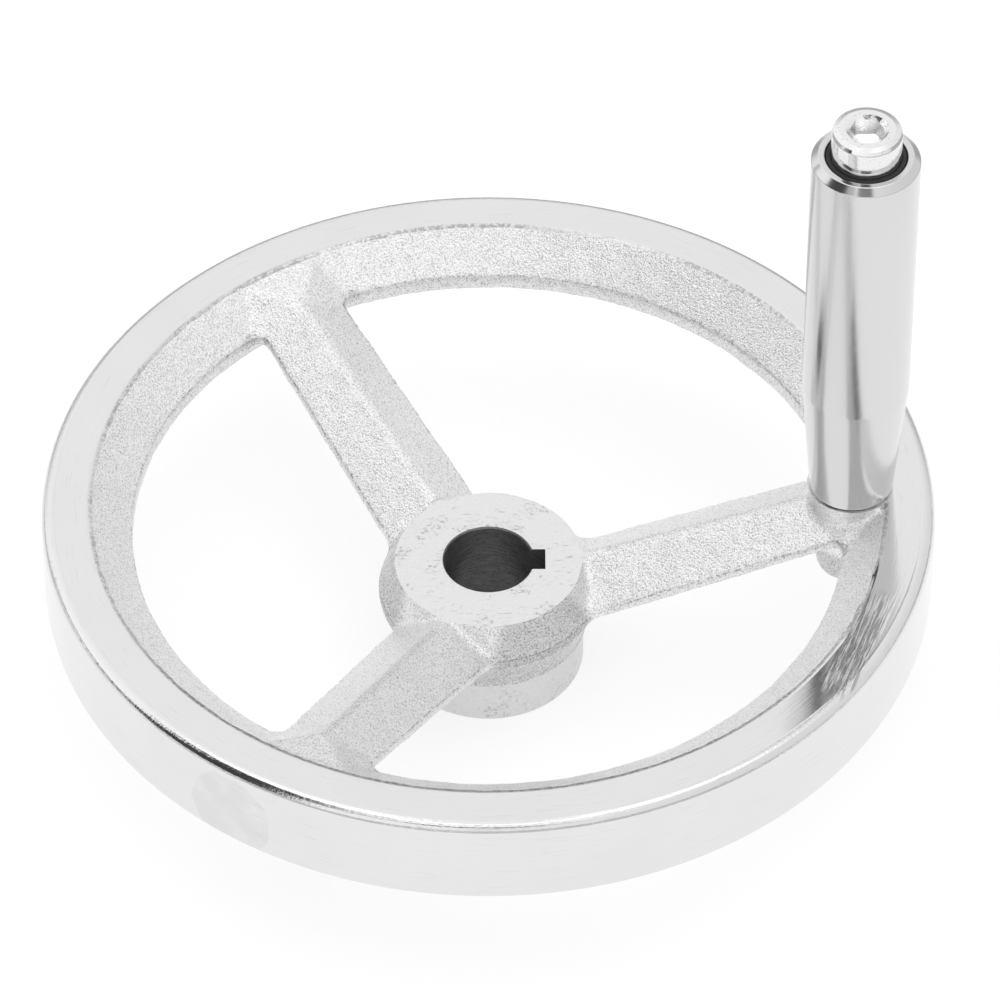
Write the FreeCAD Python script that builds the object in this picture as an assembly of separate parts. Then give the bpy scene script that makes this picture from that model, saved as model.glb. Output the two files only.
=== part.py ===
import FreeCAD
import Part
import math
import os
from FreeCAD import Vector

# A one-piece cast handwheel with three dished spokes and a turning handle.
# Millimetres. The wheel's axis is Z, the back end of the hub is at z = 0 and the handle stands on +X.

# Wheel as a whole
wheel_diameter = 160.0
overall_height = 40.0

# Rim: turned and polished outside, left as cast towards the spokes
rim_height = 18.8
rim_face_width = 8.7
rim_back_width = 5.5
rim_section_width = 16.1
rim_edge_chamfer = 1.2
rim_nose_level = 11.1
rim_flash_height = 2.8

# Hub: rough cast waist with a faced end and a turned spigot
hub_length = 24.0
hub_face_diameter = 33.8
hub_facing_diameter = 35.8
hub_waist_diameter = 39.8
hub_waist_drop = 7.0
hub_flash_height = 1.6
hub_spigot_diameter = 34.6
hub_spigot_length = 9.1
hub_shoulder = 0.4
hub_edge_chamfer = 0.5
bore_diameter = 16.0
bore_chamfer = 0.4
keyway_width = 5.0
keyway_depth = 2.3
keyway_angle = -3.0

# Spokes: a roof above and below the parting edge, which climbs from the hub to the rim
spoke_count = 3
spoke_root_width = 19.2
spoke_root_rise = 1.3
spoke_root_half_height = 6.7
spoke_tip_width = 17.2
spoke_tip_drop = 6.4
spoke_tip_half_height = 5.0
spoke_flash_height = 1.4
crown_width = 0.6
crown_radius = 1.0
hub_corner_radius = 4.0
rim_corner_radius = 2.0
fan_width = 17.0
fan_foot_width = 25.0
fan_drop = 0.3

# Boss that carries the handle
handle_inset = 14.8
boss_seat_diameter = 15.8
boss_end_diameter = 11.6
boss_end_round = 1.6
boss_overhang = 1.3

# Handle: a steel sleeve that turns on a shoulder screw
grip_diameter = 19.0
sleeve_foot_diameter = 15.0
sleeve_length = 79.6
sleeve_taper_length = 25.0
sleeve_foot_chamfer = 0.3
sleeve_end_chamfer = 1.2
counterbore_diameter = 14.2
counterbore_depth = 2.0
counterbore_chamfer = 0.25
handle_length = 96.0
screw_head_diameter = 12.3
screw_head_height = 8.0
screw_head_chamfer = 1.0
shoulder_diameter = 10.0
thread_diameter = 8.0
thread_chamfer = 0.8
hex_across_flats = 6.0
hex_depth = 4.0
hex_mouth_chamfer = 0.25
hex_floor_angle = 120.0
tapped_hole_spare = 2.2
drill_point_angle = 118.0
ring_height = 1.6
ring_sink = 0.1
ring_chamfer = 0.25

# Clearances
shoulder_clearance = 0.08
thread_clearance = 0.05
ring_clearance = 0.10
end_play = 0.10
overcut = 1.0

# Levels and radii that follow from the sizes above
rim_radius = wheel_diameter / 2
rim_bottom = overall_height - rim_height
nose_radius = rim_radius - rim_section_width
nose_level = rim_bottom + rim_nose_level
face_inner_radius = rim_radius - rim_face_width
waist_radius = hub_waist_diameter / 2
waist_level = hub_length - hub_waist_drop
spoke_root_level = waist_level + spoke_root_rise
spoke_tip_level = overall_height - spoke_tip_drop
handle_radius = rim_radius - handle_inset
sleeve_bottom = overall_height + end_play
sleeve_top = sleeve_bottom + sleeve_length
head_bottom = sleeve_top - counterbore_depth + end_play
head_top = head_bottom + screw_head_height
thread_end = head_top - handle_length


def line(start, end):
    """Straight edge of a profile given as (radius, height)."""
    return Part.LineSegment(Vector(start[0], 0, start[1]), Vector(end[0], 0, end[1])).toShape()


def arc(start, middle, end):
    """Round edge of a profile through three points given as (radius, height)."""
    points = [Vector(radius, 0, height) for radius, height in (start, middle, end)]
    return Part.Arc(*points).toShape()


def outline(points):
    """Straight edges of a profile from point to point."""
    return [line(start, end) for start, end in zip(points, points[1:])]


def turned(edges, axis_x=0.0):
    """Solid turned from a closed profile about a vertical axis."""
    shape = Part.Face(Part.Wire(edges)).revolve(Vector(0, 0, 0), Vector(0, 0, 1), 360)
    shape.translate(Vector(axis_x, 0, 0))
    return shape


def corner_round(radius):
    """How far the middle of a quarter round lies in from its two sides."""
    return radius * (1 - math.sqrt(0.5))


def make_rim():
    """Ring with a flat turned outside and a nose that points at the hub."""
    nose_low = (nose_radius, nose_level - rim_flash_height / 2)
    nose_high = (nose_radius, nose_level + rim_flash_height / 2)
    face_inner = (face_inner_radius, overall_height)
    face_outer = (rim_radius - rim_edge_chamfer, overall_height)
    side_high = (rim_radius, overall_height - rim_edge_chamfer)
    side_low = (rim_radius, rim_bottom + rim_edge_chamfer)
    back_outer = (rim_radius - rim_edge_chamfer, rim_bottom)
    back_inner = (rim_radius - rim_back_width, rim_bottom)
    ring = [face_inner, face_outer, side_high, side_low, back_outer, back_inner]
    return turned(outline([nose_high, *ring, nose_low, nose_high]))


def make_hub():
    """Hub as cast and turned, still without its bore."""
    spigot_radius = hub_spigot_diameter / 2
    waist_low = waist_level - hub_flash_height / 2
    waist_high = waist_level + hub_flash_height / 2
    points = [
        (0, hub_length),
        (0, 0),
        (spigot_radius - hub_edge_chamfer, 0),
        (spigot_radius, hub_edge_chamfer),
        (spigot_radius, hub_spigot_length),
        (spigot_radius + hub_shoulder, hub_spigot_length + hub_shoulder),
        (waist_radius, waist_low),
        (waist_radius, waist_high),
        (hub_face_diameter / 2, hub_length),
        (0, hub_length),
    ]
    return turned(outline(points))


def between(share, start, end):
    """Value at a share of the way from start to end."""
    return start + (end - start) * share


def spoke_station(distance):
    """Half width, parting level and half height of a plain spoke at a distance from the wheel's axis."""
    share = (distance - waist_radius) / (nose_radius - waist_radius)
    return (
        between(share, spoke_root_width, spoke_tip_width) / 2,
        between(share, spoke_root_level, spoke_tip_level),
        between(share, spoke_root_half_height, spoke_tip_half_height),
    )


def tangent_point(centre, radius, point):
    """Point where the straight line from an outside point touches a circle, on its upper right."""
    away = (point[0] - centre[0], point[1] - centre[1])
    angle = math.atan2(away[1], away[0]) + math.acos(radius / math.hypot(*away))
    return (centre[0] + radius * math.cos(angle), centre[1] + radius * math.sin(angle))


def spoke_section(distance, half_width, parting, half_height, half_crown):
    """Closed section of a spoke: flash edges, sloping sides and a rounded crown on both faces."""
    flash = spoke_flash_height / 2
    centre = (half_crown, half_height - crown_radius)
    touch = tangent_point(centre, crown_radius, (half_width, flash))
    shoulder = (
        centre[0] + crown_radius * math.sin(0.5 * math.atan2(touch[0] - centre[0], touch[1] - centre[1])),
        centre[1] + crown_radius * math.cos(0.5 * math.atan2(touch[0] - centre[0], touch[1] - centre[1])),
    )
    quarter = [(half_width, flash), touch, shoulder, (half_crown, half_height)]

    def place(point, side, face):
        return Vector(distance, side * point[0], parting + face * point[1])

    edges = []
    for side, face in ((1, 1), (-1, 1), (-1, -1), (1, -1)):
        edge_point, arc_start, arc_middle, arc_end = [place(point, side, face) for point in quarter]
        slope = Part.LineSegment(edge_point, arc_start).toShape()
        crown = Part.Arc(arc_start, arc_middle, arc_end).toShape()
        if side == face:
            across = place(quarter[3], -side, face)
            edges += [slope, crown, Part.LineSegment(arc_end, across).toShape()]
        else:
            below = place(quarter[0], side, -face)
            edges += [crown, slope, Part.LineSegment(edge_point, below).toShape()]
    return Part.Wire(Part.__sortEdges__(edges))


def hub_corner(angle):
    """Distance and half width on the rounded corner between a spoke and the hub."""
    half_width = spoke_root_width / 2
    reach = waist_radius + hub_corner_radius
    start = math.sqrt(reach ** 2 - (half_width + hub_corner_radius) ** 2)
    return start - hub_corner_radius * math.sin(angle), hub_corner_radius * (1 - math.cos(angle))


def rim_corner(angle):
    """Distance and half width on the rounded corner between a spoke and the rim."""
    half_width = spoke_tip_width / 2
    reach = nose_radius - rim_corner_radius
    start = math.sqrt(reach ** 2 - (half_width + rim_corner_radius) ** 2)
    return start + rim_corner_radius * math.sin(angle), rim_corner_radius * (1 - math.cos(angle))


def make_spoke():
    """Spoke along +X, flared at both ends so that the windows get round corners."""
    sections = []
    half_crown = crown_width / 2
    for degrees in (60, 40, 20, 0):
        distance, flare = hub_corner(math.radians(degrees))
        half_width, parting, half_height = spoke_station(distance)
        sections.append(spoke_section(distance, half_width + flare, parting, half_height, half_crown))
    for degrees in (0, 20, 40, 60, 80):
        distance, flare = rim_corner(math.radians(degrees))
        half_width, parting, half_height = spoke_station(distance)
        sections.append(spoke_section(distance, half_width + flare, parting, half_height, half_crown))
    half_width, parting, half_height = spoke_station(face_inner_radius)
    fan_half_height = overall_height - fan_drop - parting
    sections.append(
        spoke_section(face_inner_radius, fan_foot_width / 2, parting, fan_half_height, fan_width / 2)
    )
    return Part.makeLoft(sections, True, True)


def make_boss():
    """Tapered boss under the handle, its seat level with the rim's face."""
    end_radius = boss_end_diameter / 2
    bottom = rim_bottom - boss_overhang
    lift = corner_round(boss_end_round)
    seat = (boss_seat_diameter / 2, overall_height)
    side_low = (end_radius, bottom + boss_end_round)
    corner = (end_radius - lift, bottom + lift)
    end_rim = (end_radius - boss_end_round, bottom)
    edges = outline([(0, bottom), (0, overall_height), seat, side_low])
    edges += [arc(side_low, corner, end_rim), line(end_rim, (0, bottom))]
    return turned(edges, handle_radius)


def make_bore():
    """Cutter for the hub's bore, chamfered at both ends, with its keyway."""
    radius = bore_diameter / 2
    wide = radius + bore_chamfer + overcut
    points = [
        (0, -overcut),
        (wide, -overcut),
        (radius, bore_chamfer),
        (radius, hub_length - bore_chamfer),
        (wide, hub_length + overcut),
        (0, hub_length + overcut),
        (0, -overcut),
    ]
    slot = Part.makeBox(
        radius + keyway_depth,
        keyway_width,
        hub_length + 2 * overcut,
        Vector(0, -keyway_width / 2, -overcut),
    )
    slot.rotate(Vector(0, 0, 0), Vector(0, 0, 1), keyway_angle)
    return turned(outline(points)).fuse(slot)


def make_tapped_hole():
    """Cutter for the blind hole in the boss that takes the screw's thread."""
    radius = thread_diameter / 2 + thread_clearance
    bottom = thread_end - tapped_hole_spare
    point = radius / math.tan(math.radians(drill_point_angle / 2))
    points = [
        (0, bottom - point),
        (radius, bottom),
        (radius, overall_height + overcut),
        (0, overall_height + overcut),
        (0, bottom - point),
    ]
    return turned(outline(points), handle_radius)


def make_facing():
    """Cutter for the lathe cuts over the hub's end and over the rim's face."""
    above = overall_height
    hub_cut = Part.makeCylinder(hub_facing_diameter / 2, above, Vector(0, 0, hub_length))
    rim_cut = Part.makeCylinder(rim_radius, above, Vector(0, 0, overall_height))
    return hub_cut.fuse(rim_cut)


def make_wheel_casting():
    """The whole casting with its machined holes and faces."""
    casting = make_rim().fuse([make_hub(), make_boss()])
    for number in range(spoke_count):
        spoke = make_spoke()
        spoke.rotate(Vector(0, 0, 0), Vector(0, 0, 1), number * 360 / spoke_count)
        casting = casting.fuse(spoke)
    casting = casting.cut([make_facing(), make_bore(), make_tapped_hole()])
    return casting.removeSplitter()


def make_handle_sleeve():
    """Turned grip: tapered foot, straight body, and a counterbore at the outer end."""
    grip = grip_diameter / 2
    foot = sleeve_foot_diameter / 2
    bore = shoulder_diameter / 2 + shoulder_clearance
    counterbore = counterbore_diameter / 2
    floor = sleeve_top - counterbore_depth
    points = [
        (bore, sleeve_bottom),
        (foot - sleeve_foot_chamfer, sleeve_bottom),
        (foot, sleeve_bottom + sleeve_foot_chamfer),
        (grip, sleeve_bottom + sleeve_taper_length),
        (grip, sleeve_top - sleeve_end_chamfer),
        (grip - sleeve_end_chamfer, sleeve_top),
        (counterbore + counterbore_chamfer, sleeve_top),
        (counterbore, sleeve_top - counterbore_chamfer),
        (counterbore, floor),
        (bore, floor),
        (bore, sleeve_bottom),
    ]
    return turned(outline(points), handle_radius)


def make_hex_socket():
    """Cutter for the key's socket in the screw's head."""
    corner = hex_across_flats / math.sqrt(3)
    corners = [
        Vector(corner * math.cos(math.radians(60 * turn)), corner * math.sin(math.radians(60 * turn)), 0)
        for turn in range(7)
    ]
    hexagon = Part.Face(Part.makePolygon(corners)).extrude(Vector(0, 0, hex_depth + overcut))
    hexagon.translate(Vector(handle_radius, 0, head_top - hex_depth))
    mouth = corner + hex_mouth_chamfer
    point = hex_across_flats / 2 / math.tan(math.radians(hex_floor_angle / 2))
    chamfer = [
        (0, head_top - mouth),
        (mouth + overcut, head_top + overcut),
        (0, head_top + overcut),
        (0, head_top - mouth),
    ]
    floor = [
        (0, head_top - hex_depth - point),
        (hex_across_flats / 2, head_top - hex_depth),
        (0, head_top - hex_depth),
        (0, head_top - hex_depth - point),
    ]
    return hexagon.fuse([turned(outline(chamfer), handle_radius), turned(outline(floor), handle_radius)])


def make_handle_screw():
    """Shoulder screw: socket head, plain shoulder down to the boss, and the thread's envelope."""
    head = screw_head_diameter / 2
    shoulder = shoulder_diameter / 2
    thread = thread_diameter / 2
    points = [
        (0, head_top),
        (0, thread_end),
        (thread - thread_chamfer, thread_end),
        (thread, thread_end + thread_chamfer),
        (thread, overall_height),
        (shoulder, overall_height),
        (shoulder, head_bottom),
        (head, head_bottom),
        (head, head_top - screw_head_chamfer),
        (head - screw_head_chamfer, head_top),
        (0, head_top),
    ]
    return turned(outline(points), handle_radius).cut(make_hex_socket())


def make_end_ring():
    """Rubber ring stretched round the foot of the screw's head, inside the sleeve's counterbore."""
    inner = screw_head_diameter / 2
    outer = counterbore_diameter / 2 - ring_clearance
    top = sleeve_top - ring_sink
    bottom = top - ring_height
    points = [
        (inner, top - ring_chamfer),
        (inner, bottom),
        (outer, bottom),
        (outer, top - ring_chamfer),
        (outer - ring_chamfer, top),
        (inner + ring_chamfer, top),
        (inner, top - ring_chamfer),
    ]
    return turned(outline(points), handle_radius)


nodes = {
    "wheel_casting": make_wheel_casting,
    "handle_sleeve": make_handle_sleeve,
    "handle_screw": make_handle_screw,
    "end_ring": make_end_ring,
}

os.makedirs("parts", exist_ok=True)
for name, make in nodes.items():
    shape = make()
    shape.exportStep("parts/" + name + ".step")
    print(name, "valid", shape.isValid(), "solids", len(shape.Solids), "volume", round(shape.Volume, 1))
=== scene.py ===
import math

import bpy
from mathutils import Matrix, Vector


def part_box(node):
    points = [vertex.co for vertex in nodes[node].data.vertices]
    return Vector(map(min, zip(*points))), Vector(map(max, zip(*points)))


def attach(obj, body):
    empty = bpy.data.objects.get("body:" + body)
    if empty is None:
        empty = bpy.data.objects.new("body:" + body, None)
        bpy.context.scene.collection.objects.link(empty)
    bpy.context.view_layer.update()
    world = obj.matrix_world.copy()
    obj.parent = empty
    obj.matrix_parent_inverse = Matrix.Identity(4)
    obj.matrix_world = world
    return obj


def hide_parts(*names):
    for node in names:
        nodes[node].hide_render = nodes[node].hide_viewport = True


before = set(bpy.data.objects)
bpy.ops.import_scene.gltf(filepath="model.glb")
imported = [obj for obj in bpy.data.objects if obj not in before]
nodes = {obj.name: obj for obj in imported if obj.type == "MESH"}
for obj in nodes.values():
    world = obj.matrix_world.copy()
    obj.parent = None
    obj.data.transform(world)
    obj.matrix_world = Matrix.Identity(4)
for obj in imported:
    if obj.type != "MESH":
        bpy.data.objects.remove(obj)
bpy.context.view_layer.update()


# Studio: the wheel stands on a pale table in a white room, brighter high up and dimmer low down at the back.
# On the camera's side and to its left are dark places, which polished edges show as dark lines.
class Wire:
    """A socket in a node tree, so that shader sums are written as plain expressions."""

    def __init__(self, tree, socket=None):
        self.tree = tree
        self.socket = socket

    def node(self, kind, settings, inputs, output=0):
        """Any other node: its own settings first, then the values or links of its sockets."""
        made = self.tree.nodes.new(kind)
        for name, value in settings.items():
            setattr(made, name, value)
        for name, value in inputs.items():
            if isinstance(value, Wire):
                self.tree.links.new(value.socket, made.inputs[name])
            else:
                made.inputs[name].default_value = value
        return Wire(self.tree, made.outputs[output])

    def maths(self, operation, first, second=0.0):
        return self.node("ShaderNodeMath", {"operation": operation}, {0: first, 1: second})

    def __add__(self, other):
        return self.maths("ADD", self, other)

    __radd__ = __add__

    def __mul__(self, other):
        return self.maths("MULTIPLY", self, other)

    __rmul__ = __mul__

    def __sub__(self, other):
        return self.maths("SUBTRACT", self, other)

    def __rsub__(self, other):
        return self.maths("SUBTRACT", other, self)

    def rise(self, low, high):
        """0 below low, 1 above high, and a soft step between them."""
        return self.node(
            "ShaderNodeMapRange",
            {"interpolation_type": "SMOOTHSTEP"},
            {"Value": self, "From Min": low, "From Max": high},
        )

    def band(self, low, high, soft):
        """1 between low and high and 0 outside them, with soft ends."""
        return self.rise(low - soft, low + soft) * (1 - self.rise(high - soft, high + soft))

    def size(self):
        """The number without its sign."""
        return self.maths("ABSOLUTE", self)


world = bpy.data.worlds.new("white_room")
bpy.context.scene.world = world
world.use_nodes = True
room = Wire(world.node_tree)
way = room.node("ShaderNodeTexCoord", {}, {}, "Generated")
x_way, y_way, z_way = [room.node("ShaderNodeSeparateXYZ", {}, {0: way}, axis) for axis in range(3)]
around = room.maths("ARCTAN2", x_way, 0 - y_way)
upward = room.maths("ARCSINE", z_way)


def dark_place(turns, heights, soft_sides=0.02, soft_ends=0.04):
    """A dark patch of the room, between two turns in degrees and two heights in radians."""
    first, last = [math.radians(turn) for turn in turns]
    return around.band(first, last, soft_sides) * upward.band(heights[0], heights[1], soft_ends)


camera_side = dark_place((-22, 11), (0.6, 0.86))
left_side = dark_place((-82, -48), (0.0, 1.0)) + dark_place((-88, -82), (0.0, 0.75))
left_side = left_side + dark_place((-125, -88), (0.12, 0.26), 0.03, 0.03)
left_side = left_side + 0.5 * dark_place((-48, -30), (0.55, 0.9))
overhead = upward.rise(0.95, 1.15) * (1 - upward.rise(1.3, 1.45)) * (1 - y_way.rise(0.05, 0.3))
far_wall = y_way.rise(0.6, 0.95) * (1 - upward.rise(0.15, 0.6))
brightness = (1.0 - 0.17 * x_way + 0.55 * overhead - 0.5 * far_wall) * (1 - 0.95 * camera_side)
brightness = brightness * (1 - 0.95 * left_side)
background = world.node_tree.nodes["Background"]
world.node_tree.links.new(brightness.socket, background.inputs["Strength"])
background.inputs["Color"].default_value = (1, 1, 1, 1)
bpy.context.scene.view_settings.view_transform = "Standard"

bpy.ops.object.select_all(action="DESELECT")
bpy.ops.mesh.primitive_plane_add(size=6)
table = bpy.context.object
table.name = "table"
table_paint = bpy.data.materials.new("pale_table")
table_paint.use_nodes = True
table_shader = table_paint.node_tree.nodes["Principled BSDF"]
table_shader.inputs["Base Color"].default_value = (0.3, 0.3, 0.3, 1)
table_shader.inputs["Roughness"].default_value = 0.9
table_shader.inputs["Specular IOR Level"].default_value = 0.0
table_place = Wire(table_paint.node_tree)
table_place = table_place.node("ShaderNodeTexCoord", {}, {}, "Object")
distance = table_place.node("ShaderNodeVectorMath", {"operation": "LENGTH"}, {0: table_place}, "Value")
glow = 1 - 0.75 * distance.rise(0.18, 0.4)
table_paint.node_tree.links.new(glow.socket, table_shader.inputs["Emission Color"])
table_shader.inputs["Emission Strength"].default_value = 0.75
table.data.materials.append(table_paint)

key_data = bpy.data.lights.new("softbox", "AREA")
key_data.shape = "RECTANGLE"
key_data.size = 0.8
key_data.size_y = 0.6
key_data.energy = 0.5
softbox = bpy.data.objects.new("softbox", key_data)
softbox.location = (0.35, 0.25, 1.1)
softbox.rotation_euler = (-softbox.location).to_track_quat("-Z", "Y").to_euler()
softbox.visible_glossy = False
bpy.context.scene.collection.objects.link(softbox)

camera_data = bpy.data.cameras.new("camera")
camera_data.sensor_width = 36
camera_data.lens = 267.02
camera = bpy.data.objects.new("camera", camera_data)
camera.location = (-0.05001, -0.93378, 0.98348)
camera.rotation_euler = (math.radians(90 - 45.279), math.radians(0.034), math.radians(-3.229))
bpy.context.scene.collection.objects.link(camera)
bpy.context.scene.camera = camera


# Wheel: one iron casting with its machined faces, plated all over but for the bore.
# It is made here as it is in the shop: a rough casting with stock on it, then turned, bored and broached.
MM = 0.001
CASTING = "wheel_casting"
rim_radius, rim_level, hub_level, bore_radius = 80, 40, 24, 8
rim_edge, hub_face_radius, handle_x = 2.05, 17.9, 65.2


def only(thing):
    """Selects one object and makes it active."""
    bpy.ops.object.select_all(action="DESELECT")
    thing.select_set(True)
    bpy.context.view_layer.objects.active = thing


def turn(name, outline, sides, axis_x=0.0):
    """A ring turned from a closed outline of (radius, height) in millimetres, drawn out loop by loop."""
    radius, height = outline[0]
    centre = (axis_x * MM, 0, height * MM)
    bpy.ops.object.select_all(action="DESELECT")
    bpy.ops.mesh.primitive_circle_add(vertices=sides, radius=radius * MM, location=centre)
    ring = bpy.context.object
    ring.name = name
    bpy.ops.object.transform_apply()
    bpy.ops.object.mode_set(mode="EDIT")
    bpy.ops.mesh.select_mode(type="VERT")
    bpy.ops.mesh.select_all(action="SELECT")
    for next_radius, next_height in outline[1:] + outline[:1]:
        rise = (0, 0, (next_height - height) * MM)
        bpy.ops.mesh.extrude_region_move(TRANSFORM_OT_translate={"value": rise})
        wider = next_radius / radius
        middle = (axis_x * MM, 0, next_height * MM)
        bpy.ops.transform.resize(value=(wider, wider, 1), center_override=middle)
        radius, height = next_radius, next_height
    bpy.ops.mesh.select_all(action="SELECT")
    bpy.ops.mesh.remove_doubles(threshold=0.001 * MM)
    bpy.ops.mesh.normals_make_consistent(inside=False)
    bpy.ops.object.mode_set(mode="OBJECT")
    return ring


def rounded(centre, radius, first, last, steps):
    """Points of a round stretch of an outline, from one angle to another."""
    turns = [math.radians(first + (last - first) * step / steps) for step in range(steps + 1)]
    return [(centre[0] + radius * math.cos(t), centre[1] + radius * math.sin(t)) for t in turns]


def held(outline, gap=0.12):
    """The outline with a point close to each end of its long straight runs, which keeps them flat."""
    points = []
    for first, last in zip(outline, outline[1:] + outline[:1]):
        points.append(first)
        run = math.dist(first, last)
        if run > 4 * gap:
            for share in (gap / run, 1 - gap / run):
                points.append(tuple(a + (b - a) * share for a, b in zip(first, last)))
    return points


def apply(thing, kind, **settings):
    """Adds a modifier, sets it and applies it."""
    only(thing)
    step = thing.modifiers.new(kind.lower(), kind)
    for name, value in settings.items():
        setattr(step, name, value)
    bpy.ops.object.modifier_apply(modifier=step.name)


blank = bpy.data.objects.new("cast_wheel", nodes[CASTING].data.copy())
bpy.context.scene.collection.objects.link(blank)
only(blank)
bpy.ops.object.mode_set(mode="EDIT")
bpy.ops.mesh.select_all(action="SELECT")
bpy.ops.mesh.remove_doubles(threshold=0.001 * MM)
bpy.ops.object.mode_set(mode="OBJECT")

rim_stock = [(71.35, 39.95), (73.1, 41.5), (81.5, 41.5), (81.5, 19.7), (76.1, 19.7), (74.45, 21.25),
             (76, 25), (76, 37)]
hub_stock = [(1, -1.2), (18.3, -1.2), (18.3, 8.9), (17.8, 9.3), (11.6, 9.3), (11.6, 23), (16.9, 24),
             (16.2, 25.5), (1, 25.5)]
hub_core = [(0.001, -1.19), (1.2, -1.19), (1.2, 25.49), (0.001, 25.49)]
boss_stock = [(0.001, 24), (5, 24), (5, 38), (7.8, 39.6), (7.9, 41.5), (0.001, 41.5)]
stock = [turn("rim_stock", rim_stock, 256), turn("hub_stock", hub_stock, 128)]
stock += [turn("hub_core", hub_core, 32), turn("boss_stock", boss_stock, 64, handle_x)]
only(blank)
for piece in stock:
    piece.select_set(True)
bpy.ops.object.join()
apply(blank, "REMESH", mode="VOXEL", voxel_size=0.64 * MM)
apply(blank, "SMOOTH", factor=0.5, iterations=1)
skin = bpy.data.textures.new("cast_skin", "CLOUDS")
skin.noise_scale = 4.5 * MM
skin.noise_depth = 2
apply(blank, "DISPLACE", texture=skin, texture_coords="LOCAL", strength=0.3 * MM, mid_level=0.5)

envelope_outline = [(bore_radius, 0.3), (bore_radius + 0.3, 0)] + rounded((16.7, 0.6), 0.6, -90, 0, 4)
envelope_outline += [(17.3, 9.1), (17.7, 9.5), (30, 9.6), (73, 18.8), (73, 21.2)]
envelope_outline += rounded((rim_radius - rim_edge, 21.2 + rim_edge), rim_edge, -90, 0, 6)
envelope_outline += rounded((rim_radius - rim_edge, rim_level - rim_edge), rim_edge, 0, 90, 6)
envelope_outline += [(72.0, rim_level), (71.6, 39.93), (71.2, 39.75), (70.8, 39.62), (70.4, 39.65)]
envelope_outline += [(69.5, rim_level), (hub_face_radius, rim_level), (hub_face_radius, hub_level)]
envelope_outline += [(bore_radius + 0.3, hub_level), (bore_radius, hub_level - 0.3)]
envelope = turn("lathe_cuts", held(envelope_outline), 300)
guard_outline = [(0.001, 30), (8.2, 30), (8.2, rim_level), (0.001, rim_level)]
seat_guard = turn("seat_guard", guard_outline, 48, handle_x)
apply(envelope, "BOOLEAN", operation="UNION", object=seat_guard, solver="MANIFOLD")
bpy.data.objects.remove(seat_guard)


def plating(name):
    """A new metal material, its shader, and the object's own coordinates."""
    material = bpy.data.materials.new(name)
    material.use_nodes = True
    shader = material.node_tree.nodes["Principled BSDF"]
    shader.inputs["Metallic"].default_value = 1.0
    tree = Wire(material.node_tree)
    place = tree.node("ShaderNodeTexCoord", {}, {}, "Object")
    return material, shader, tree, place


def feed(shader, socket, wire):
    wire.tree.links.new(wire.socket, shader.inputs[socket])


def noise(place, scale, detail=2.0, rough=0.5):
    """Cloudy noise with features of a given size in millimetres."""
    sockets = {"Vector": place, "Scale": 1 / (scale * MM), "Detail": detail, "Roughness": rough}
    return place.node("ShaderNodeTexNoise", {}, sockets)


def round_axis(place, axis_x=0.0):
    """Places across, along and up an upright axis in millimetres, with the radius from it."""
    x, y, z = [place.node("ShaderNodeSeparateXYZ", {}, {0: place}, axis) * (1 / MM) for axis in range(3)]
    x = x - axis_x
    return x, y, z, place.maths("SQRT", x * x + y * y)


def lathe_marks(place, pitch, length, reach, axis_x=0.0):
    """Noise drawn out round an axis: lines a pitch apart and of a given length, at a reach from the axis."""
    x, y, z, radius = round_axis(place, axis_x)
    turns = place.maths("DIVIDE", reach / length, radius)
    sockets = {0: x * turns, 1: y * turns, 2: (radius + z) * (1 / pitch)}
    drawn = place.node("ShaderNodeCombineXYZ", {}, sockets)
    return place.node("ShaderNodeTexNoise", {}, {"Vector": drawn, "Scale": 1.0, "Detail": 3.0})


def tinted(factor, clean, darkened):
    """The grey of clean metal, going over to a second grey where the factor rises to 1; the factors carry
    dulled metal and painted shade.
    """
    greys = {6: (clean, clean, clean, 1), 7: (darkened, darkened, darkened, 1)}
    return factor.node("ShaderNodeMix", {"data_type": "RGBA"}, {0: factor} | greys, 2)


def bumped(shader, height, distance, strength=1.0):
    """Bump of a given real height in millimetres."""
    sockets = {"Height": height, "Distance": distance * MM, "Strength": strength}
    feed(shader, "Normal", height.node("ShaderNodeBump", {}, sockets))


# The spokes' parting line climbs from the hub's waist to the rim's nose, and the flash follows it.
waist, nose = 19.9, 63.9
hub_parting, root_parting, tip_parting = 17.0, 18.3, 33.6
flash_half, nose_parting = 0.75, 32.3
cast_metal, shader, tree, place = plating("plated_cast_skin")
x, y, z, radius = round_axis(place)
bearing = tree.maths("ARCTAN2", y, x)
third = tree.node("ShaderNodeMath", {"operation": "WRAP"}, {0: bearing, 1: math.pi / 3, 2: -math.pi / 3})
along = radius * tree.maths("COSINE", third)
across = (radius * tree.maths("SINE", third)).size()
climb = (tip_parting - root_parting) / (nose - waist)
above_spoke = z - root_parting - (along - waist) * climb
on_spoke = along.band(waist + 1.2, nose, 0.5) * (1 - across.rise(12, 13))
above_hub = (z - hub_parting).size()
broken = noise(place, 0.9, 3.0, 0.7).rise(0.4, 0.65)
# The flash bands are ground smoother than the skin; the darker colour they are given in the base colour is
# painted shade.
spoke_flash = (1 - above_spoke.size().rise(flash_half - 0.1, flash_half + 0.1)) * on_spoke
hub_flash = (1 - above_hub.rise(0.7, 0.9)) * (1 - radius.rise(waist + 0.5, waist + 1.5))
spoke_lines = above_spoke.size().band(flash_half, flash_half + 0.2, 0.06) * on_spoke
hub_lines = above_hub.band(0.8, 1.05, 0.06) * (1 - radius.rise(waist + 0.5, waist + 1.5))
ridge = (1 - across.rise(0.5, 1.0)) * on_spoke * above_spoke.rise(2.5, 3.0)
rim_flash = (1 - (z - nose_parting).size().rise(1.35, 1.5)) * radius.band(62, 64.6, 0.2)
rim_lines = (z - nose_parting).size().band(1.4, 1.65, 0.08) * radius.band(62, 64.9, 0.2)
flash = spoke_flash + hub_flash + rim_flash
grain = noise(place, 0.3, 2.0, 0.6)
lumps = noise(place, 1.2, 2.0)
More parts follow.
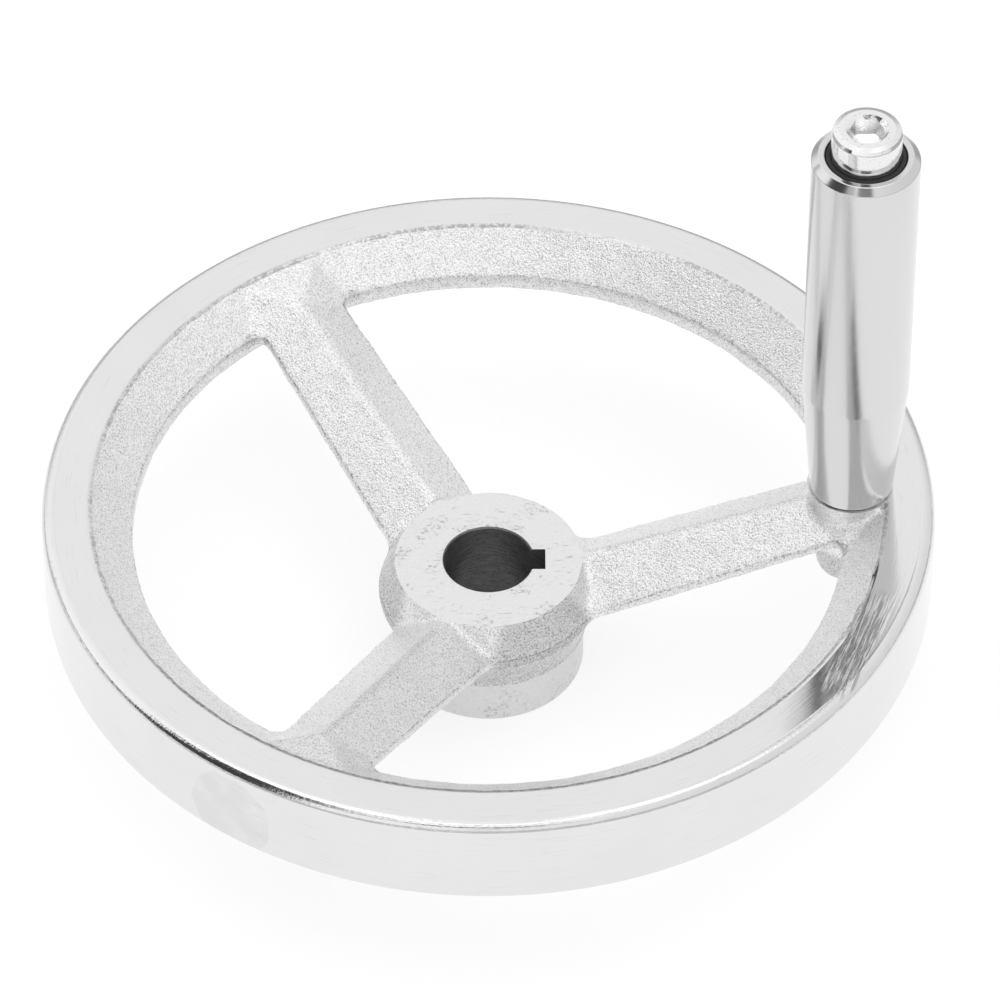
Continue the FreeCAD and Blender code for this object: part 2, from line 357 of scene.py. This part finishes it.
pits = 1 - grain.rise(0.3, 0.57)
# Painted shade: darker colour in the hub's waist between the spokes and under the handle boss.
spoke_top = (1 - across.rise(8, 11)) * z.rise(14.5, 16)
recess_shade = (1 - radius.rise(19.7, 21.3)) * (1 - spoke_top)
boss_reach = tree.maths("SQRT", (x - handle_x) * (x - handle_x) + y * y)
recess_shade = recess_shade + (1 - boss_reach.rise(8.5, 9.5)) * (1 - z.rise(26, 28))
# Painted shade: broken dark lines along the steps at the edges of the flash bands and at the hub's parting.
flash_edge_shade = (spoke_lines + hub_lines + rim_lines * 0.7) * broken
dull_and_shade = 0.6 * pits * (0.5 + lumps) + 0.2 * flash + 0.4 * recess_shade
dull_and_shade = dull_and_shade + 0.7 * flash_edge_shade + 0.12 * ridge
feed(shader, "Base Color", tinted(dull_and_shade, 1.0, 0.3))
feed(shader, "Roughness", 0.26 + 0.12 * lumps)
bumped(shader, (grain * 0.2 + lumps * 0.1) * (1 - 0.5 * flash), 1.0)

polished_metal, shader, tree, place = plating("plated_polished_rim")
x, y, z, radius = round_axis(place)
cloud = noise(place, 14.0, 3.0)
marks = lathe_marks(place, 0.3, 6.0, 75)
# In front of the handle a patch of the face was ground by hand, in straight strokes.
patch_x, patch_y, patch_run, patch_side = 63, -40, 0.4, 0.92
ground_along = (x - patch_x) * patch_run + (y - patch_y) * patch_side
ground_across = (x - patch_x) * patch_side - (y - patch_y) * patch_run
ground_place = tree.node(
    "ShaderNodeCombineXYZ", {}, {0: ground_along * (1 / 7), 1: ground_across * (1 / 0.5), 2: 0.0}
)
ground_marks = noise(ground_place, 1000.0, 3.0, 0.6)
ground = (1 - ground_across.size().rise(1.8, 3.2)) * (1 - ground_along.size().rise(9, 15))
ground = ground * z.rise(39.3, 39.7)
# Painted shade: a broken dark line along the step where the polished face meets the cast skin.
inner_step_shade = radius.band(70.8, 71.7, 0.12) * noise(place, 0.8, 3.0, 0.7).rise(0.4, 0.6)
inner_step_shade = inner_step_shade * noise(place, 25.0).rise(0.35, 0.6)
outer_edge = radius.rise(77.6, 78.0) * z.rise(37.8, 38.2)
# A dull stain sits on the outside of the rim, at the front and to the left.
stain_turn, stain_level = -0.65, 29
stain_round = (tree.maths("ARCTAN2", x, 0 - y) - stain_turn) * rim_radius
stain_high = z - stain_level
stain = tree.maths("SQRT", stain_round * stain_round * 1.2 + stain_high * stain_high)
stain = (stain + noise(place, 4.0) * 3).rise(9.8, 10.6)
stain = 0.6 * (1 - stain) + 0.8 * stain * (1 - stain)
dull_and_shade = 0.3 * stain * noise(place, 5.0, 3.0).rise(0.2, 0.6) + 0.1 * cloud + 0.12 * (1 - marks.rise(0.3, 0.4))
dull_and_shade = dull_and_shade + 1.8 * ground * (1 - ground_marks.rise(0.42, 0.56)) + 0.9 * inner_step_shade
# Painted shade: the rounded inner edge of the face is darker, in a broken band.
inner_round_shade = (1 - radius.rise(71.2, 71.8)) * (0.25 + 0.3 * noise(place, 0.8, 3.0, 0.7).rise(0.42, 0.6))
dull_and_shade = dull_and_shade + inner_round_shade
feed(shader, "Base Color", tinted(dull_and_shade, 0.8, 0.45))
feed(shader, "Roughness", 0.1 + 0.1 * cloud.rise(0.45, 0.75))
chatter = noise(place, 0.8, 3.0, 0.7) * outer_edge
waves = noise(place, 2.5, 4.0) * 0.006
bumped(shader, marks * 0.006 + waves + 0.1 * ground * ground_marks + 0.06 * chatter, 1.0)

turned_metal, shader, tree, place = plating("plated_turned_hub")
z, radius = round_axis(place)[2:]
pits = noise(place, 0.5, 3.0)
marks = lathe_marks(place, 0.25, 3.0, 14)
edge = (1 - radius.rise(8.4, 9.6)) + radius.rise(16.6, 17.6)
worn = (1 - noise(place, 0.8, 4.0, 0.7).rise(0.36, 0.47)) * (noise(place, 5.0).rise(0.5, 0.65) + 0.4 * edge)
stroke = place.node("ShaderNodeMapping", {}, {"Vector": place, "Rotation": (0, 0, 0.5), "Scale": (1, 5, 1)})
strokes = (1 - noise(stroke, 2.4, 4.0, 0.7).rise(0.34, 0.42)) * noise(place, 6.0).rise(0.45, 0.55)
# Painted shade: the spigot below the hub face is darker in colour, and less worn.
spigot_shade = 1 - z.rise(9, 12)
dull_and_shade = (0.45 * worn + 0.4 * strokes) * (1 - 0.7 * spigot_shade) + 0.25 * spigot_shade + 0.08 * (1 - pits.rise(0.35, 0.5))
feed(shader, "Base Color", tinted(dull_and_shade, 0.82, 0.3))
feed(shader, "Roughness", 0.24 + 0.16 * pits)
bumped(shader, marks * 0.02 + pits * 0.03 - worn * 0.06 - strokes * 0.03, 1.0)

bore_metal, shader, tree, place = plating("bored_iron")
lines = 0.5 * lathe_marks(place, 0.4, 2.5, 8) + 0.5 * noise(place, 0.45, 3.0, 0.7)
z = round_axis(place)[2]
# Painted shade: the bore's colour gets darker towards its bottom.
feed(shader, "Base Color", tinted((0.6 + 0.8 * lines.rise(0.35, 0.65)) * z.rise(-4, 28), 0.02, 0.3))
feed(shader, "Roughness", 0.4 + 0.2 * lines)
bumped(shader, lines * 0.06, 1.0)

casting_metals = [cast_metal, polished_metal, turned_metal, bore_metal]
for body in (blank, envelope):
    body.data.materials.clear()
    for metal in casting_metals:
        body.data.materials.append(metal)
for face in blank.data.polygons:
    face.material_index = 0
for face in envelope.data.polygons:
    reach = face.center.xy.length / MM
    if reach < bore_radius + 0.2:
        face.material_index = casting_metals.index(bore_metal)
    elif reach < 30:
        face.material_index = casting_metals.index(turned_metal)
    else:
        face.material_index = casting_metals.index(polished_metal)

keyway_width, keyway_depth, keyway_turn, keyway_overrun = 5, 2.3, -3, 3
keyway_reach = bore_radius + keyway_depth
keyway_middle = (keyway_reach / 2 * MM, 0, hub_level / 2 * MM)
keyway_size = (keyway_reach * MM, keyway_width * MM, (hub_level + 2 * keyway_overrun) * MM)
bpy.ops.object.select_all(action="DESELECT")
bpy.ops.mesh.primitive_cube_add(size=1, location=keyway_middle, scale=keyway_size)
keyway = bpy.context.object
bpy.ops.object.transform_apply()
bpy.ops.object.mode_set(mode="EDIT")
bpy.ops.mesh.select_all(action="SELECT")
# Blender turns an edited mesh clockwise for a value above 0, seen from above.
bpy.ops.transform.rotate(value=math.radians(-keyway_turn), orient_axis="Z", center_override=(0, 0, 0))
bpy.ops.object.mode_set(mode="OBJECT")
keyway.data.materials.append(bore_metal)

wheel = blank
wheel.name = "cast_wheel"
apply(wheel, "BOOLEAN", operation="INTERSECT", object=envelope, solver="MANIFOLD")
apply(wheel, "BOOLEAN", operation="DIFFERENCE", object=keyway, solver="MANIFOLD")
drilled, drill_tip = 27.6, 25.2
hole_outline = [(0.001, drill_tip), (4.05, drilled), (4.05, 41), (0.001, 41)]
tapped_hole = turn("tapped_hole", hole_outline, 48, handle_x)
tapped_hole.data.materials.append(bore_metal)
apply(wheel, "BOOLEAN", operation="DIFFERENCE", object=tapped_hole, solver="MANIFOLD")
for cutter in (envelope, keyway, tapped_hole):
    bpy.data.objects.remove(cutter)
only(wheel)
bpy.ops.object.shade_smooth_by_angle(angle=math.radians(60))
bpy.ops.object.mode_set(mode="EDIT")
bpy.ops.mesh.select_mode(type="FACE")
for index in range(1, len(casting_metals)):
    bpy.ops.mesh.select_all(action="DESELECT")
    wheel.active_material_index = index
    bpy.ops.object.material_slot_select()
    bpy.ops.mesh.region_to_loop()
    bpy.ops.mesh.mark_sharp()
    bpy.ops.mesh.select_mode(type="FACE")
bpy.ops.object.mode_set(mode="OBJECT")
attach(wheel, "wheel")
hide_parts(CASTING)


# Handle sleeve: turned from steel bar, with a long taper to its foot and a counterbore at its outer end.
# Polished and chromed all over; it is only slipped over the screw's shoulder and turns on it.
foot_corner, end_corner = [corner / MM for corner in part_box("handle_sleeve")]
grip = (end_corner.x - foot_corner.x) / 2
foot, top = foot_corner.z, end_corner.z
foot_radius, taper, foot_edge, end_edge = 7.5, 25.0, 0.3, 1.2
shoulder_bore, counterbore, counterbore_depth, mouth = 5.08, 7.1, 2.0, 0.25
sleeve_outline = [(shoulder_bore, foot), (foot_radius - foot_edge, foot), (foot_radius, foot + foot_edge)]
sleeve_outline += [(grip, foot + taper), (grip, top - end_edge), (grip - end_edge, top)]
sleeve_outline += [(counterbore + mouth, top), (counterbore, top - mouth)]
sleeve_outline += [(counterbore, top - counterbore_depth), (shoulder_bore, top - counterbore_depth)]
sleeve = turn("turned_sleeve", held(sleeve_outline), 160, handle_x)
sleeve_metal, shader, tree, place = plating("plated_polished_sleeve")
shader.inputs["Base Color"].default_value = (0.7, 0.7, 0.7, 1)
cloud = noise(place, 9.0, 3.0)
feed(shader, "Roughness", 0.13 + 0.08 * cloud)
bumped(shader, lathe_marks(place, 0.2, 4.0, 9.5, handle_x), 0.012)
sleeve.data.materials.append(sleeve_metal)
only(sleeve)
bpy.ops.object.shade_smooth()
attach(sleeve, "handle")
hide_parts("handle_sleeve")


# Handle screw: a shoulder screw turned from steel, with a hexagon socket broached into its head.
# It stands in the boss by its thread, holds the sleeve between its head and the boss, and is chromed too.
thread_end, head_top = [corner.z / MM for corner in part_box("handle_screw")]
head, head_edge, shoulder, thread, thread_edge = 6.15, 1.0, 5.0, 4.0, 0.8
head_foot = head_top - 8.0
screw_outline = [(0.001, thread_end), (thread - thread_edge, thread_end), (thread, thread_end + thread_edge)]
screw_outline += [(thread, rim_level), (shoulder, rim_level), (shoulder, head_foot), (head, head_foot)]
screw_outline += [(head, head_top - head_edge)]
screw_outline += [(head - head_edge * 0.3, head_top - head_edge * 0.35), (head - 1.3 * head_edge, head_top)]
screw_outline += [(0.001, head_top)]
screw = turn("shoulder_screw", held(screw_outline), 96, handle_x)
across_flats, socket_depth, mouth = 6.0, 4.0, 0.25
corner = across_flats / math.sqrt(3)
floor_fall = across_flats / 2 / math.tan(math.radians(60))
bpy.ops.object.select_all(action="DESELECT")
bpy.ops.mesh.primitive_circle_add(
    vertices=6, radius=corner * MM, fill_type="NGON", location=(handle_x * MM, 0, (head_top + 1) * MM)
)
key_socket = bpy.context.object
bpy.ops.object.transform_apply()
bpy.ops.object.mode_set(mode="EDIT")
bpy.ops.mesh.select_all(action="SELECT")
bpy.ops.transform.rotate(value=math.radians(30), orient_axis="Z", center_override=(handle_x * MM, 0, 0))
bpy.ops.mesh.extrude_region_move(TRANSFORM_OT_translate={"value": (0, 0, -(socket_depth + 1) * MM)})
bpy.ops.mesh.extrude_region_move(TRANSFORM_OT_translate={"value": (0, 0, -floor_fall * MM)})
bpy.ops.transform.resize(value=(0.02, 0.02, 1), center_override=(handle_x * MM, 0, 0))
bpy.ops.mesh.select_all(action="SELECT")
bpy.ops.mesh.normals_make_consistent(inside=False)
bpy.ops.object.mode_set(mode="OBJECT")
mouth_radius = corner + mouth
mouth_outline = [(0.001, head_top - mouth_radius), (mouth_radius + 1, head_top + 1), (0.001, head_top + 1)]
key_mouth = turn("key_mouth", mouth_outline, 64, handle_x)
screw_metal, shader, tree, place = plating("plated_screw_head")
z = round_axis(place, handle_x)[2]
top_face = z.rise(head_top - 0.5, head_top - 0.2)
feed(shader, "Base Color", tinted(0.4 * (1 - noise(place, 0.5, 3.0).rise(0.3, 0.4)), 0.85, 0.4))
feed(shader, "Roughness", 0.06 + 0.06 * noise(place, 3.0, 3.0) + 0.1 * top_face)
bumped(shader, lathe_marks(place, 0.2, 3.0, 5, handle_x) * 0.006 + noise(place, 0.8, 2.0) * 0.006, 1.0)
socket_metal, shader, tree, place = plating("plated_key_socket")
feed(shader, "Roughness", 0.12 + 0.16 * noise(place, 0.8, 3.0))
shader.inputs["Base Color"].default_value = (0.93, 0.93, 0.93, 1)
bumped(shader, noise(place, 0.7, 2.0), 0.1)
for body in (screw, key_socket, key_mouth):
    for metal in (screw_metal, socket_metal):
        body.data.materials.append(metal)
for cutter in (key_socket, key_mouth):
    for face in cutter.data.polygons:
        face.material_index = 1
    apply(screw, "BOOLEAN", operation="DIFFERENCE", object=cutter, solver="EXACT")
    bpy.data.objects.remove(cutter)
only(screw)
bpy.ops.object.shade_smooth_by_angle(angle=math.radians(35))
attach(screw, "wheel")
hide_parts("handle_screw")


# End ring: black rubber, cut from moulded tube and stretched round the foot of the screw's head.
# It fills the sleeve's counterbore and stays with the screw when the sleeve turns.
ring_low, ring_high = [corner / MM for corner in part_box("end_ring")]
ring_outer = (ring_high.x - ring_low.x) / 2
ring_edge = 0.25
ring_outline = [(head, ring_low.z), (ring_outer, ring_low.z)]
ring_outline += rounded((ring_outer - ring_edge, ring_high.z - ring_edge), ring_edge, 0, 90, 4)
ring_outline += rounded((head + ring_edge, ring_high.z - ring_edge), ring_edge, 90, 180, 4)
ring = turn("rubber_ring", ring_outline, 96, handle_x)
rubber = bpy.data.materials.new("black_ring_rubber")
rubber.use_nodes = True
rubber_shader = rubber.node_tree.nodes["Principled BSDF"]
rubber_tree = Wire(rubber.node_tree)
rubber_place = rubber_tree.node("ShaderNodeTexCoord", {}, {}, "Object")
rubber_shader.inputs["Base Color"].default_value = (0.02, 0.02, 0.02, 1)
feed(rubber_shader, "Roughness", 0.5 + 0.2 * noise(rubber_place, 1.0))
bumped(rubber_shader, noise(rubber_place, 0.3, 2.0), 0.01)
ring.data.materials.append(rubber)
only(ring)
bpy.ops.object.shade_smooth_by_angle(angle=math.radians(35))
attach(ring, "wheel")
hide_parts("end_ring")
